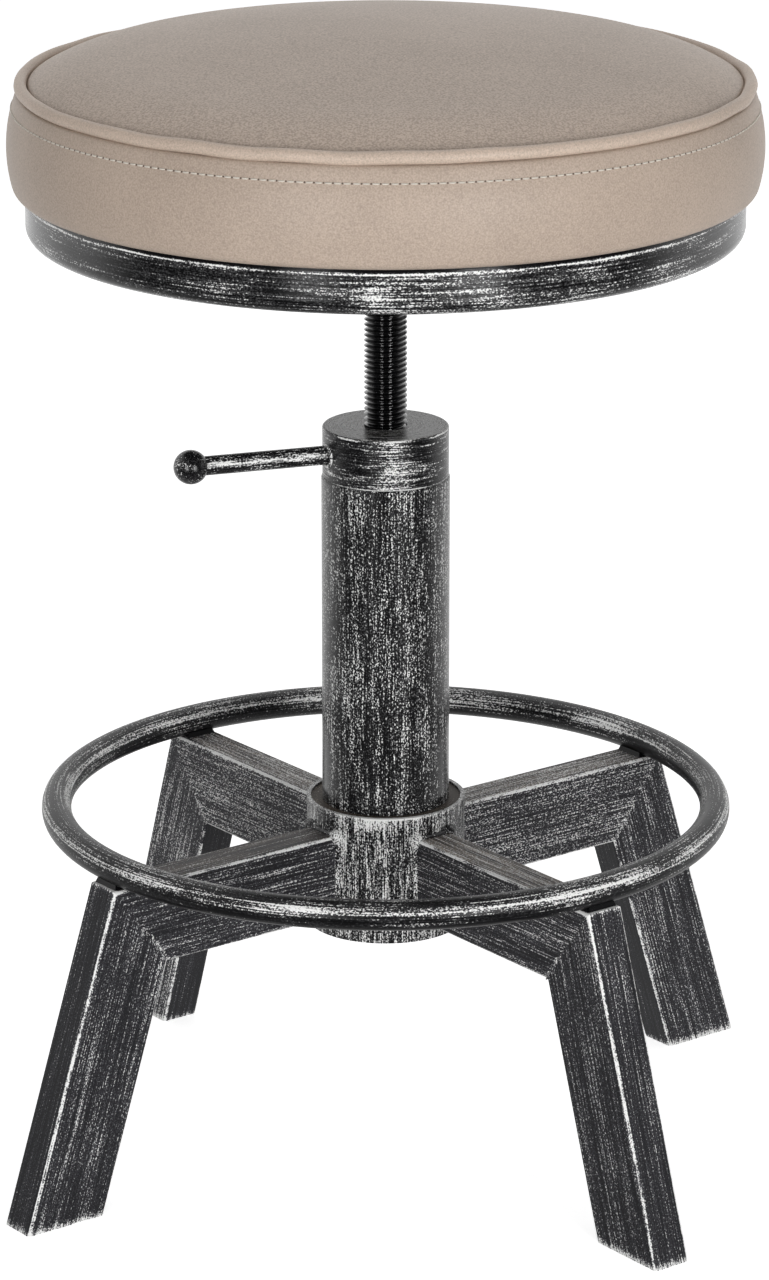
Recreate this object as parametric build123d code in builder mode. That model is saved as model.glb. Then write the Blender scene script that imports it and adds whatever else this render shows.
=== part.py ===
from build123d import *
from math import cos, radians, tan
import os

# Height-adjustable screw stool: a piped cushion in a pressed pan, a screw that climbs through a nut
# in the column, a lock collar with a lever, and four mitred legs that carry a foot ring.
# Millimetres, +Z up, origin on the floor under the column's axis, front towards -Y.

# Clearances
weld_gap = 0.05  # between pieces that are welded, pressed or glued together
running_gap = 0.05  # radial, between a screw or pin and what it turns in
sliding_gap = 0.1  # radial, between the guide bush and the column's bore
stop_gap = 0.5  # left at each end of the screw's travel

# Arms and legs: rectangular tube, mitred where an arm turns down into its leg
corners = ["back_right", "back_left", "front_left", "front_right"]
first_azimuth = 45.0
tube_depth = 40.0
tube_width = 20.0
tube_wall = 1.5
tube_corner = 2.0
tube_inner_corner = 0.8
arm_top = 157.0
mitre_radius = 163.0  # from the axis to a leg's outer top corner
splay = 18.0
foot_plate_thickness = 3.0

# Foot ring, welded on top of the arms
ring_setback = 7.0  # from a leg's outer top corner in to the ring's centre line
ring_diameter = 14.0
ring_gap = 0.5
weld_width = 16.0
weld_length = 11.0
weld_rise = 3.0  # how far a bead climbs beside the ring
weld_taper = 20.0

# Hub
hub_diameter = 75.0
hub_wall = 2.0
hub_overhang = 11.0  # above and below the arms
sleeve_height = 15.0
sleeve_drop = 1.0
hub_floor_thickness = 5.0
centre_bolt_diameter = 12.0
centre_bolt_across = 19.0
centre_bolt_head = 7.5
centre_bolt_tip = 1.0  # beyond the base plug
centre_hole_gap = 0.5
centre_washer_diameter = 26.0
centre_washer_thickness = 2.5

# Column
column_diameter = 60.0
column_wall = 2.5
column_top = 325.0
column_chamfer = 0.6
nut_height = 25.0
base_plug_height = 12.0

# Height screw and its lower end
screw_diameter = 20.0
screw_pitch = 2.5
turns_up = 25
spigot_diameter = 14.0
bush_height = 16.0
bush_end_gap = 0.15
bush_chamfer = 1.5
stop_washer_diameter = 28.0
stop_washer_thickness = 3.0
stop_bolt_diameter = 8.0
stop_bolt_across = 13.0
stop_bolt_head = 5.3
stop_bolt_depth = 18.0

# Lock collar and lever
collar_diameter = 59.0
collar_height = 24.0
collar_edge = 1.0
lever_azimuth = 206.2
lever_diameter = 9.0
lever_socket_depth = 12.0
lever_reach = 94.5  # from the axis to the ball's centre
ball_diameter = 16.0
ball_socket_depth = 8.5

# Seat pan, flange and fasteners
seat_gap = 88.0  # from the collar up to the flange, at the height shown
flange_diameter = 100.0
flange_thickness = 4.0
bolt_count = 4
bolt_azimuth = 45.0
bolt_circle = 72.0
seat_bolt_diameter = 8.0
seat_bolt_across = 13.0
seat_bolt_head = 5.3
seat_bolt_hole_gap = 0.5
seat_washer_diameter = 16.0
seat_washer_thickness = 1.6
pan_inset = 8.0  # from the cushion's fullest part in to the pan's side
pan_depth = 21.0
pan_sheet = 1.5
pan_corner = 6.0

# Board and tee nuts
board_thickness = 12.0
board_edge_gap = 0.8
tee_barrel_diameter = 10.0
tee_barrel_length = 9.0
tee_flange_diameter = 22.0
tee_flange_thickness = 1.5

# Cushion
cover_thickness = 1.2
cover_gap = 0.1
rim_gap = 0.4
tuck_width = 20.0  # of the cover's margin under the board
cushion_diameter = 346.0
bulge_rise = 22.6  # from the cushion's underside to its fullest part
foot_rise = 3.6
foot_inset = 2.1
foot_corner_inset = 6.5
top_inset = 4.6
piping_diameter = 6.0
piping_inset = 7.0
piping_rise = 48.6
seam_gap = 0.4
crown_height = 24.0  # above the piping
crown_turn_radius = 130.0  # where the crown starts to roll down to the seam
crown_turn_drop = 11.0

# Heights and radii that follow
arm_bottom = arm_top - tube_depth
arm_middle = arm_top - tube_depth / 2
hub_top = arm_top + hub_overhang
hub_bottom = arm_bottom - hub_overhang
hub_radius = hub_diameter / 2
hub_bore = hub_radius - hub_wall
column_radius = column_diameter / 2
column_bore = column_radius - column_wall
centre_washer_bottom = hub_bottom + centre_bolt_head
hub_floor_bottom = centre_washer_bottom + centre_washer_thickness
column_bottom = hub_floor_bottom + hub_floor_thickness
base_plug_top = column_bottom + base_plug_height
ring_radius = mitre_radius - ring_setback
ring_height = arm_top + ring_gap + ring_diameter / 2
leg_level_width = tube_depth / cos(radians(splay))
mitre_run = leg_level_width - tube_depth * tan(radians(splay))
leg_length = arm_top / cos(radians(splay)) + tube_depth

screw_radius = screw_diameter / 2
nut_bottom = column_top - nut_height
screw_shoulder = nut_bottom - stop_gap - turns_up * screw_pitch
bush_top = screw_shoulder - bush_end_gap
bush_bottom = bush_top - bush_height
spigot_end = bush_bottom - bush_end_gap
stop_washer_bottom = spigot_end - stop_washer_thickness

collar_radius = collar_diameter / 2
collar_top = column_top + collar_height
lever_plane = Plane(
    origin=(0, 0, column_top + collar_height / 2),
    z_dir=Vector(1, 0, 0).rotate(Axis.Z, lever_azimuth),
)
lever_start = collar_radius - lever_socket_depth

flange_bottom = collar_top + seat_gap
pan_bottom = flange_bottom + flange_thickness
pan_floor = pan_bottom + pan_sheet
pan_rim = pan_bottom + pan_depth
cushion_radius = cushion_diameter / 2
pan_radius = cushion_radius - pan_inset
seat_washer_bottom = flange_bottom - seat_washer_thickness
board_bottom = pan_floor + cover_thickness
board_top = board_bottom + board_thickness
tuck_radius = pan_radius - pan_corner - board_edge_gap
board_radius = tuck_radius - cover_thickness - cover_gap
tee_top = board_top - weld_gap

underside = pan_rim + rim_gap
bulge_height = underside + bulge_rise
foot_height = underside + foot_rise
piping_radius = cushion_radius - piping_inset
piping_height = underside + piping_rise
band_top = piping_height - piping_diameter / 2
seam_radius = piping_radius - piping_diameter / 2 - seam_gap
seam_height = piping_height + cover_thickness
crown_top = piping_height + crown_height

os.makedirs("parts", exist_ok=True)


def tube_section():
    RectangleRounded(tube_width, tube_depth, tube_corner)
    RectangleRounded(
        tube_width - 2 * tube_wall,
        tube_depth - 2 * tube_wall,
        tube_inner_corner,
        mode=Mode.SUBTRACT,
    )


def side_arc(inset, top):
    return ThreePointArc(
        (cushion_radius - top_inset - inset, top),
        (cushion_radius - inset, bulge_height),
        (cushion_radius - foot_inset - inset, foot_height),
    )


def foot_arc(side, lift):
    return TangentArc(side @ 1, (cushion_radius - foot_corner_inset, underside + lift), tangent=side % 1)


def crown_line(drop):
    middle = TangentArc(
        (0, crown_top - drop),
        (crown_turn_radius, crown_top - crown_turn_drop - drop),
        tangent=(1, 0),
    )
    return TangentArc(middle @ 1, (seam_radius, seam_height - drop), tangent=middle % 1)


# Base: arms, legs and the plates that close the legs
for number, corner in enumerate(corners):
    azimuth = first_azimuth + number * 360 / len(corners)
    outward = Vector(1, 0, 0).rotate(Axis.Z, azimuth)
    sideways = Vector(0, 1, 0).rotate(Axis.Z, azimuth)
    upward = Vector(0, 0, 1)
    arm_plane = Plane(origin=upward * arm_middle, x_dir=sideways, z_dir=outward)
    mitre_plane = Plane(
        origin=outward * mitre_radius + upward * arm_top,
        x_dir=sideways,
        z_dir=outward * tube_depth - upward * mitre_run,
    )
    leg_plane = Plane(
        origin=outward * (mitre_radius - mitre_run / 2) + upward * arm_middle,
        x_dir=sideways,
        z_dir=(-upward).rotate(Axis((0, 0, 0), sideways), -splay),
    )

    with BuildPart() as arm:
        with BuildSketch(arm_plane):
            tube_section()
        extrude(amount=mitre_radius)
        split(bisect_by=mitre_plane, keep=Keep.BOTTOM)
        Cylinder(hub_radius + weld_gap, 2 * hub_top, mode=Mode.SUBTRACT)
    arm.part.label = f"arm_{corner}"
    export_step(arm.part, f"parts/arm_{corner}.step")

    with BuildPart() as leg:
        with BuildSketch(leg_plane):
            tube_section()
        extrude(amount=leg_length, both=True)
        split(bisect_by=mitre_plane, keep=Keep.TOP)
        split(bisect_by=Plane.XY, keep=Keep.TOP)
    leg.part.label = f"leg_{corner}"
    export_step(leg.part, f"parts/leg_{corner}.step")

    with BuildPart() as foot_plate:
        with BuildSketch(leg_plane):
            RectangleRounded(
                tube_width - 2 * (tube_wall + weld_gap),
                tube_depth - 2 * (tube_wall + weld_gap),
                tube_inner_corner,
            )
        extrude(amount=leg_length)
        split(bisect_by=Plane.XY, keep=Keep.TOP)
        split(bisect_by=Plane.XY.offset(foot_plate_thickness), keep=Keep.BOTTOM)
    foot_plate.part.label = f"foot_plate_{corner}"
    export_step(foot_plate.part, f"parts/foot_plate_{corner}.step")

# Base: foot ring and the weld beads that hold it on the arms
with BuildPart(Plane.XY.offset(ring_height)) as foot_ring:
    Torus(ring_radius, ring_diameter / 2)
foot_ring.part.label = "foot_ring"
export_step(foot_ring.part, "parts/foot_ring.step")

with BuildPart() as ring_welds:
    with BuildSketch(Plane.XY.offset(arm_top)):
        with PolarLocations(ring_radius, len(corners), first_azimuth):
            Rectangle(weld_length, weld_width)
    extrude(amount=ring_gap + weld_rise, taper=weld_taper)
    with Locations((0, 0, ring_height)):
        Torus(ring_radius, ring_diameter / 2 + weld_gap, mode=Mode.SUBTRACT)
ring_welds.part.label = "ring_welds"
export_step(ring_welds.part, "parts/ring_welds.step")

# Base: hub with its floor, and the sleeve that steadies the column
with BuildPart() as hub_tube:
    with BuildSketch(Plane.XY.offset(hub_bottom)):
        Circle(hub_radius)
        Circle(hub_bore, mode=Mode.SUBTRACT)
    extrude(amount=hub_top - hub_bottom)
hub_tube.part.label = "hub_tube"
export_step(hub_tube.part, "parts/hub_tube.step")

with BuildPart() as hub_sleeve:
    with BuildSketch(Plane.XY.offset(hub_top - sleeve_drop)):
        Circle(hub_bore - weld_gap)
        Circle(column_radius + weld_gap, mode=Mode.SUBTRACT)
    extrude(amount=-sleeve_height)
hub_sleeve.part.label = "hub_sleeve"
export_step(hub_sleeve.part, "parts/hub_sleeve.step")

with BuildPart() as hub_floor:
    with BuildSketch(Plane.XY.offset(hub_floor_bottom)):
        Circle(hub_bore - weld_gap)
        Circle(centre_bolt_diameter / 2 + centre_hole_gap, mode=Mode.SUBTRACT)
    extrude(amount=hub_floor_thickness)
hub_floor.part.label = "hub_floor"
export_step(hub_floor.part, "parts/hub_floor.step")

with BuildPart() as centre_washer:
    with BuildSketch(Plane.XY.offset(centre_washer_bottom)):
        Circle(centre_washer_diameter / 2)
        Circle(centre_bolt_diameter / 2 + centre_hole_gap, mode=Mode.SUBTRACT)
    extrude(amount=centre_washer_thickness)
centre_washer.part.label = "centre_washer"
export_step(centre_washer.part, "parts/centre_washer.step")

with BuildPart() as centre_bolt:
    with BuildSketch(Plane.XY.offset(centre_washer_bottom)):
        RegularPolygon(centre_bolt_across / 2, 6, major_radius=False)
    extrude(amount=-centre_bolt_head)
    with BuildSketch(Plane.XY.offset(centre_washer_bottom)):
        Circle(centre_bolt_diameter / 2)
    extrude(amount=base_plug_top + centre_bolt_tip - centre_washer_bottom)
centre_bolt.part.label = "centre_bolt"
export_step(centre_bolt.part, "parts/centre_bolt.step")

# Base: column with its fixed nut and its foot plug
with BuildPart() as column_tube:
    with BuildSketch(Plane.XY.offset(column_bottom)):
        Circle(column_radius)
        Circle(column_bore, mode=Mode.SUBTRACT)
    extrude(amount=column_top - column_bottom)
    column_rim = column_tube.edges().group_by(Axis.Z)[-1].sort_by(SortBy.RADIUS)[-1]
    chamfer(column_rim, column_chamfer)
column_tube.part.label = "column_tube"
export_step(column_tube.part, "parts/column_tube.step")

with BuildPart() as column_nut:
    with BuildSketch(Plane.XY.offset(nut_bottom)):
        Circle(column_bore - weld_gap)
        Circle(screw_radius + running_gap, mode=Mode.SUBTRACT)
    extrude(amount=nut_height)
column_nut.part.label = "column_nut"
export_step(column_nut.part, "parts/column_nut.step")

with BuildPart() as column_base_plug:
    with BuildSketch(Plane.XY.offset(column_bottom)):
        Circle(column_bore - weld_gap)
        Circle(centre_bolt_diameter / 2 + weld_gap, mode=Mode.SUBTRACT)
    extrude(amount=base_plug_height)
column_base_plug.part.label = "column_base_plug"
export_step(column_base_plug.part, "parts/column_base_plug.step")

# Lock: collar with its lever
with BuildPart() as lock_collar:
    with BuildSketch(Plane.XY.offset(column_top)):
        Circle(collar_radius)
        Circle(screw_radius + running_gap, mode=Mode.SUBTRACT)
    extrude(amount=collar_height)
    collar_rims = lock_collar.edges().filter_by(GeomType.CIRCLE).sort_by(SortBy.RADIUS)[-2:]
    fillet(collar_rims.sort_by(Axis.Z)[-1], collar_edge)
    chamfer(collar_rims.sort_by(Axis.Z)[0], column_chamfer)
    with BuildSketch(lever_plane.offset(lever_start)):
        Circle(lever_diameter / 2 + weld_gap)
    extrude(amount=collar_radius, mode=Mode.SUBTRACT)
lock_collar.part.label = "lock_collar"
export_step(lock_collar.part, "parts/lock_collar.step")

with BuildPart() as lever_rod:
    with BuildSketch(lever_plane.offset(lever_start)):
        Circle(lever_diameter / 2)
    extrude(amount=lever_reach - ball_diameter / 2 + ball_socket_depth - lever_start)
lever_rod.part.label = "lever_rod"
export_step(lever_rod.part, "parts/lever_rod.step")

with BuildPart(lever_plane.offset(lever_reach)) as lever_ball:
    Sphere(ball_diameter / 2)
    with BuildSketch(lever_plane.offset(lever_reach - ball_diameter / 2 + ball_socket_depth)):
        Circle(lever_diameter / 2 + weld_gap)
    extrude(amount=-ball_diameter, mode=Mode.SUBTRACT)
lever_ball.part.label = "lever_ball"
export_step(lever_ball.part, "parts/lever_ball.step")

# Seat: height screw, turned down below its shoulder for the guide bush, with a stop at its end
with BuildPart() as height_screw:
    with BuildSketch(Plane.XY.offset(screw_shoulder)):
        Circle(screw_radius)
    extrude(amount=pan_bottom - screw_shoulder)
    with BuildSketch(Plane.XY.offset(screw_shoulder)):
        Circle(spigot_diameter / 2)
    extrude(amount=spigot_end - screw_shoulder)
    with BuildSketch(Plane.XY.offset(spigot_end)):
        Circle(stop_bolt_diameter / 2 + weld_gap)
    extrude(amount=stop_bolt_depth, mode=Mode.SUBTRACT)
height_screw.part.label = "height_screw"
export_step(height_screw.part, "parts/height_screw.step")

with BuildPart() as guide_bush:
    with BuildSketch(Plane.XY.offset(bush_bottom)):
        Circle(column_bore - sliding_gap)
        Circle(spigot_diameter / 2 + running_gap, mode=Mode.SUBTRACT)
    extrude(amount=bush_height)
    bush_rims = guide_bush.edges().filter_by(GeomType.CIRCLE).sort_by(SortBy.RADIUS)[-2:]
    chamfer(bush_rims, bush_chamfer)
guide_bush.part.label = "guide_bush"
export_step(guide_bush.part, "parts/guide_bush.step")

with BuildPart() as stop_washer:
    with BuildSketch(Plane.XY.offset(stop_washer_bottom)):
        Circle(stop_washer_diameter / 2)
        Circle(stop_bolt_diameter / 2 + weld_gap, mode=Mode.SUBTRACT)
    extrude(amount=stop_washer_thickness)
stop_washer.part.label = "stop_washer"
export_step(stop_washer.part, "parts/stop_washer.step")

with BuildPart() as stop_bolt:
    with BuildSketch(Plane.XY.offset(stop_washer_bottom)):
        RegularPolygon(stop_bolt_across / 2, 6, major_radius=False)
    extrude(amount=-stop_bolt_head)
    with BuildSketch(Plane.XY.offset(stop_washer_bottom)):
        Circle(stop_bolt_diameter / 2)
    extrude(amount=stop_washer_thickness + stop_bolt_depth - stop_gap)
stop_bolt.part.label = "stop_bolt"
export_step(stop_bolt.part, "parts/stop_bolt.step")

# Seat: flange, pan and the bolts that hold them to the board
with BuildPart() as screw_flange:
    with BuildSketch(Plane.XY.offset(flange_bottom)):
        Circle(flange_diameter / 2)
        Circle(screw_radius + weld_gap, mode=Mode.SUBTRACT)
        with PolarLocations(bolt_circle / 2, bolt_count, bolt_azimuth):
            Circle(seat_bolt_diameter / 2 + seat_bolt_hole_gap, mode=Mode.SUBTRACT)
    extrude(amount=flange_thickness)
screw_flange.part.label = "screw_flange"
export_step(screw_flange.part, "parts/screw_flange.step")

with BuildPart() as seat_pan:
    with BuildSketch(Plane.XY.offset(pan_bottom)):
        Circle(pan_radius)
    extrude(amount=pan_depth)
    fillet(seat_pan.edges().sort_by(Axis.Z)[0], pan_corner)
    offset(amount=-pan_sheet, openings=seat_pan.faces().sort_by(Axis.Z)[-1])
    with BuildSketch(Plane.XY.offset(pan_bottom)):
        with PolarLocations(bolt_circle / 2, bolt_count, bolt_azimuth):
            Circle(seat_bolt_diameter / 2 + seat_bolt_hole_gap)
    extrude(amount=pan_sheet, mode=Mode.SUBTRACT)
seat_pan.part.label = "seat_pan"
export_step(seat_pan.part, "parts/seat_pan.step")

with BuildPart() as seat_bolt_washers:
    with BuildSketch(Plane.XY.offset(seat_washer_bottom)):
        with PolarLocations(bolt_circle / 2, bolt_count, bolt_azimuth):
            Circle(seat_washer_diameter / 2)
            Circle(seat_bolt_diameter / 2 + weld_gap, mode=Mode.SUBTRACT)
    extrude(amount=seat_washer_thickness)
seat_bolt_washers.part.label = "seat_bolt_washers"
export_step(seat_bolt_washers.part, "parts/seat_bolt_washers.step")

with BuildPart() as seat_bolts:
    with BuildSketch(Plane.XY.offset(seat_washer_bottom)):
        with PolarLocations(bolt_circle / 2, bolt_count, bolt_azimuth):
            RegularPolygon(seat_bolt_across / 2, 6, major_radius=False)
    extrude(amount=-seat_bolt_head)
    with BuildSketch(Plane.XY.offset(seat_washer_bottom)):
        with PolarLocations(bolt_circle / 2, bolt_count, bolt_azimuth):
            Circle(seat_bolt_diameter / 2)
    extrude(amount=tee_top - seat_washer_bottom)
seat_bolts.part.label = "seat_bolts"
export_step(seat_bolts.part, "parts/seat_bolts.step")

with BuildPart() as board_tee_nuts:
    with BuildSketch(Plane.XY.offset(tee_top)):
        with PolarLocations(bolt_circle / 2, bolt_count, bolt_azimuth):
            Circle(tee_flange_diameter / 2)
            Circle(seat_bolt_diameter / 2 + weld_gap, mode=Mode.SUBTRACT)
    extrude(amount=-tee_flange_thickness)
    with BuildSketch(Plane.XY.offset(tee_top - tee_flange_thickness)):
        with PolarLocations(bolt_circle / 2, bolt_count, bolt_azimuth):
            Circle(tee_barrel_diameter / 2)
            Circle(seat_bolt_diameter / 2 + weld_gap, mode=Mode.SUBTRACT)
    extrude(amount=-tee_barrel_length)
board_tee_nuts.part.label = "board_tee_nuts"
export_step(board_tee_nuts.part, "parts/board_tee_nuts.step")

with BuildPart() as seat_board:
    with BuildSketch(Plane.XY.offset(board_bottom)):
        Circle(board_radius)
    extrude(amount=board_thickness)
    with Locations(Plane.XY.offset(board_top)):
        with PolarLocations(bolt_circle / 2, bolt_count, bolt_azimuth):
            CounterBoreHole(
                radius=tee_barrel_diameter / 2 + weld_gap,
                counter_bore_radius=tee_flange_diameter / 2 + weld_gap,
                counter_bore_depth=tee_flange_thickness + weld_gap,
            )
seat_board.part.label = "seat_board"
export_step(seat_board.part, "parts/seat_board.step")

# Seat: crowned foam with a lip over the pan's rim, and the cover's panel, piping and side band
with BuildPart() as seat_foam:
    with BuildSketch(Plane.XZ):
        with BuildLine():
            crown = crown_line(cover_thickness + cover_gap)
            side = side_arc(cover_thickness + cover_gap, band_top - seam_gap * 2)
            foot = foot_arc(side, cover_thickness + cover_gap)
            Polyline(
                crown @ 1,
                (seam_radius, band_top + cover_thickness - seam_gap),
                side @ 0,
            )
            Polyline(
                foot @ 1,
                (board_radius, underside + cover_thickness + cover_gap),
                (board_radius, board_top),
                (0, board_top),
                (0, crown_top - cover_thickness - cover_gap),
            )
        make_face()
    revolve(axis=Axis.Z)
seat_foam.part.label = "seat_foam"
export_step(seat_foam.part, "parts/seat_foam.step")

with BuildPart() as seat_top_panel:
    with BuildSketch(Plane.XZ):
        with BuildLine():
            outer_crown = crown_line(0)
            inner_crown = crown_line(cover_thickness)
            Line(outer_crown @ 1, inner_crown @ 1)
            Line((0, crown_top), (0, crown_top - cover_thickness))
        make_face()
    revolve(axis=Axis.Z)
seat_top_panel.part.label = "seat_top_panel"
export_step(seat_top_panel.part, "parts/seat_top_panel.step")

with BuildPart(Plane.XY.offset(piping_height)) as seat_piping:
    Torus(piping_radius, piping_diameter / 2)
seat_piping.part.label = "seat_piping"
export_step(seat_piping.part, "parts/seat_piping.step")

with BuildPart() as seat_side_band:
    with BuildSketch(Plane.XZ):
        with BuildLine():
            outer_side = side_arc(0, band_top)
            outer_foot = foot_arc(outer_side, 0)
            inner_side = side_arc(cover_thickness, band_top)
            inner_foot = foot_arc(inner_side, cover_thickness)
            Line(outer_side @ 0, inner_side @ 0)
            Polyline(
                outer_foot @ 1,
                (tuck_radius, underside),
                (tuck_radius, pan_floor),
                (tuck_radius - tuck_width, pan_floor),
                (tuck_radius - tuck_width, board_bottom),
                (tuck_radius - cover_thickness, board_bottom),
                (tuck_radius - cover_thickness, underside + cover_thickness),
                inner_foot @ 1,
            )
        make_face()
    revolve(axis=Axis.Z)
seat_side_band.part.label = "seat_side_band"
export_step(seat_side_band.part, "parts/seat_side_band.step")
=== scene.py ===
"""Looks of a height-adjustable screw stool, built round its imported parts.

Metres, +Z up, origin on the floor under the column's axis, front towards -Y.
"""

import math
import random
from types import SimpleNamespace

import bmesh
import bpy
import numpy as np
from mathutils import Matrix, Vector


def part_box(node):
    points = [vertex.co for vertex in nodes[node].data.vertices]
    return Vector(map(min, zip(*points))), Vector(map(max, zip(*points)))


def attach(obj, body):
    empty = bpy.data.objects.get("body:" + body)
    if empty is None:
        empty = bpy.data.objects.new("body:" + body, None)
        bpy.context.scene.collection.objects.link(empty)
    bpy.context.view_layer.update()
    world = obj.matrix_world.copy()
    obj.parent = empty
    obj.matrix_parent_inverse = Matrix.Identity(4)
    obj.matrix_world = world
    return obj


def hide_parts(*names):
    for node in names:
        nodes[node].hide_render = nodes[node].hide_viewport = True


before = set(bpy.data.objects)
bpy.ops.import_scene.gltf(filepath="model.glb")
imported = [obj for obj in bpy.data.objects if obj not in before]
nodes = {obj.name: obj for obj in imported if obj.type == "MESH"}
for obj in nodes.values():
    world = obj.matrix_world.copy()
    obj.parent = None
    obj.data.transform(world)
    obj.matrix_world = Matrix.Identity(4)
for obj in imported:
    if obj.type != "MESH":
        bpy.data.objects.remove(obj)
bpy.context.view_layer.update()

MM = 0.001
X_AXIS = Vector((1, 0, 0))
Y_AXIS = Vector((0, 1, 0))
Z_AXIS = Vector((0, 0, 1))

# Camera, as fitted to the photograph
CAMERA_AZIMUTH = 7.57
CAMERA_YAW = 0.013
CAMERA_PITCH = 17.449
CAMERA_DISTANCE = 2.3497
CAMERA_HEIGHT = 0.9828
CAMERA_LENS = 147.3
CAMERA_TURN = math.radians(CAMERA_AZIMUTH)
TOWARD_CAMERA = Vector((math.sin(CAMERA_TURN), -math.cos(CAMERA_TURN), 0))

# Studio
FLOOR_RADIUS = 8.0
FLOOR_SIDES = 64
FLOOR_COLOUR = (0.86, 0.86, 0.86, 1)
FLOOR_FILL = 0.72
AMBIENT = 0.32
MIRRORED_BACK = 1.1  # brightness of the studio in reflections, behind the stool and in front of it
MIRRORED_FRONT = 0.06
FLOOR_FADE = 0.5  # from the floor's middle to where each of the two is reached
SKY_FADE = (-0.2, 0.5)  # where the sky reaches them, as shares of the direction towards the camera
LIGHT_TARGET = Vector((0, 0, 0.3))
SOFTBOXES = {
    "key_right": {"turn": 28, "rise": 4, "distance": 2.6, "size": (0.6, 1.0), "watts": 30},
    "key_left": {"turn": -23, "rise": 4, "distance": 2.6, "size": (0.6, 1.0), "watts": 20},
    "top_back": {"turn": 180, "rise": 62, "distance": 2.4, "size": (2.0, 2.0), "watts": 13},
}

# Colours, linear
LEATHER = (0.53, 0.428, 0.352, 1)
LEATHER_DARK = (0.35, 0.280, 0.227, 1)
# Painted shade in the needle holes of the side band's seam
NEEDLE_HOLE_SHADE = (0.06, 0.04, 0.03, 1)
THREAD = (0.76, 0.71, 0.63, 1)
THREAD_SHADE = 0.72
PAINT_BLACK = (0.003, 0.003, 0.0035, 1)
PAINT_GREY = (0.034, 0.034, 0.036, 1)
PAN_GREY = (0.055, 0.055, 0.057, 1)
SLATE_BLACK = (0.013, 0.013, 0.015, 1)
SLATE_GREY = (0.062, 0.061, 0.069, 1)
# The hub sleeve's warm browns: painted warm light on its upward face
SLEEVE_WARM_DARK = (0.05, 0.041, 0.033, 1)
SLEEVE_WARM_LIGHT = (0.21, 0.175, 0.142, 1)
# Painted warm sheen: a warm tint laid on upward faces for warm light reflected onto them
WARM_SHEEN_TINT = (0.30, 0.255, 0.215, 1)
SILVER = (0.88, 0.88, 0.87, 1)
SILVER_DULL = (0.62, 0.62, 0.615, 1)
SCREW_BLACK = (0.0008, 0.0008, 0.001, 1)
SCREW_OIL = (0.003, 0.003, 0.0035, 1)
ZINC = (0.52, 0.52, 0.50, 1)
ZINC_YELLOW = (0.66, 0.64, 0.56, 1)
NYLON = (0.78, 0.77, 0.71, 1)
NYLON_DULL = (0.70, 0.69, 0.63, 1)
PLY_LIGHT = (0.60, 0.44, 0.27, 1)
PLY_DARK = (0.36, 0.23, 0.12, 1)

# Sizes that the cushion follows
COVER_THICKNESS = 1.2 * MM
PIPING_RADIUS = 3.0 * MM
PIPING_INSET = 7.0 * MM
PIPING_STEPS = 360
PIPING_SIDES = 20
PIPING_WANDER = 0.18 * MM
PIPING_WAVER = 0.22 * MM
PIPING_SWELL = 0.02
PIPING_SEEDS = (5, 6, 8)  # of its radius, height and girth
PAN_CLEARANCE = 0.4 * MM
BAND_SEGMENTS = 300
BAND_SIDE_STEPS = 18
BAND_CORNER_STEPS = 5
BAND_EDGE_DROP = 0.8 * MM
BAND_SEAM_EDGE = ((-1.0 * MM, 0.6 * MM), (1.2 * MM, -0.1 * MM))  # from the piping's radius and the band's top
TUCK_INSET = 6.8 * MM
TUCK_TURN = 3.6 * MM
TUCK_DEPTH = 4 * MM
BULGE_RISE = 22.6 * MM
FOOT_RISE = 3.6 * MM
FOOT_INSET = 2.1 * MM
FOOT_CORNER_INSET = 6.5 * MM
TOP_INSET = 4.6 * MM
CROWN_TURN_RADIUS = 130 * MM
CROWN_TURN_DROP = 11 * MM
CROWN_ROLL_STEPS = 12
PANEL_GRID = 56
PANEL_EDGE = (0.9 * MM, 1.6 * MM)  # out from the seam and down from it
PANEL_TURN_IN = (6 * MM, 8 * MM)  # in from the seam and down from the piping
PANEL_BASE_INSET = 8 * MM
STITCH_DROP = 7.3 * MM
STITCH_COUNT = 262
STITCH_LENGTH = 3.0 * MM
STITCH_RADIUS = 0.38 * MM
STITCH_RINGS = 7
STITCH_SIDES = 8
STITCH_END = 0.65  # share of the thread's radius at its two ends
STITCH_RISE = 0.75  # height of a thread's middle over the cover and how far its ends dip, in radii
STITCH_DIP = 1.5
DENT_DEPTH = 0.35 * MM
DENT_REACH = 1.6 * MM
NEEDLE_RADIUS = 0.42 * MM

# Cloth run of the cushion's cover
FILLING_HOLD = 0.35
CLOTH_FRAMES = 20
BAND_MOST_MOVE = 2.5 * MM
BAND_PUCKER_REACH = 5 * MM
BAND_PUCKERS = (0.45, 0.55)  # mean slack and its swing round the seat
BAND_SEED = 11
PANEL_MOST_MOVE = 1.5 * MM
PANEL_PUCKER_REACH = 9 * MM
PANEL_PUCKERS = (0.4, 0.6)
PANEL_SLACK = 0.5
PANEL_SEED = 23
CLOTH = {
    "quality": 6,
    "mass": 0.05,
    "tension_stiffness": 20,
    "compression_stiffness": 20,
    "shear_stiffness": 10,
    "bending_stiffness": 1.5,
    "use_pressure": True,
    "uniform_pressure_force": 4,
    "pin_stiffness": 0.6,
    "shrink_min": 0.0,
    "shrink_max": -0.035,
}

# Sizes of the metal pieces
SCREW_PITCH = 2.5 * MM
THREAD_DEPTH = 1.5 * MM
SPIGOT_RADIUS = 7.0 * MM
BUSH_PLAY = 0.15 * MM
CORNERS = ("back_right", "back_left", "front_left", "front_right")
LEG_SPLAY = math.radians(18)
TUBE_WIDTH = 20 * MM
HUB_BEAD = 1.6 * MM
MITRE_BEAD = 0.6 * MM
MITRE_BEAD_RUN = 22 * MM
LEVER_BEAD = 0.9 * MM
FLANGE_BEAD = 1.6 * MM
BEAD_SIDES = 10
BEAD_LUMPS = (0.85, 1.15)

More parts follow.
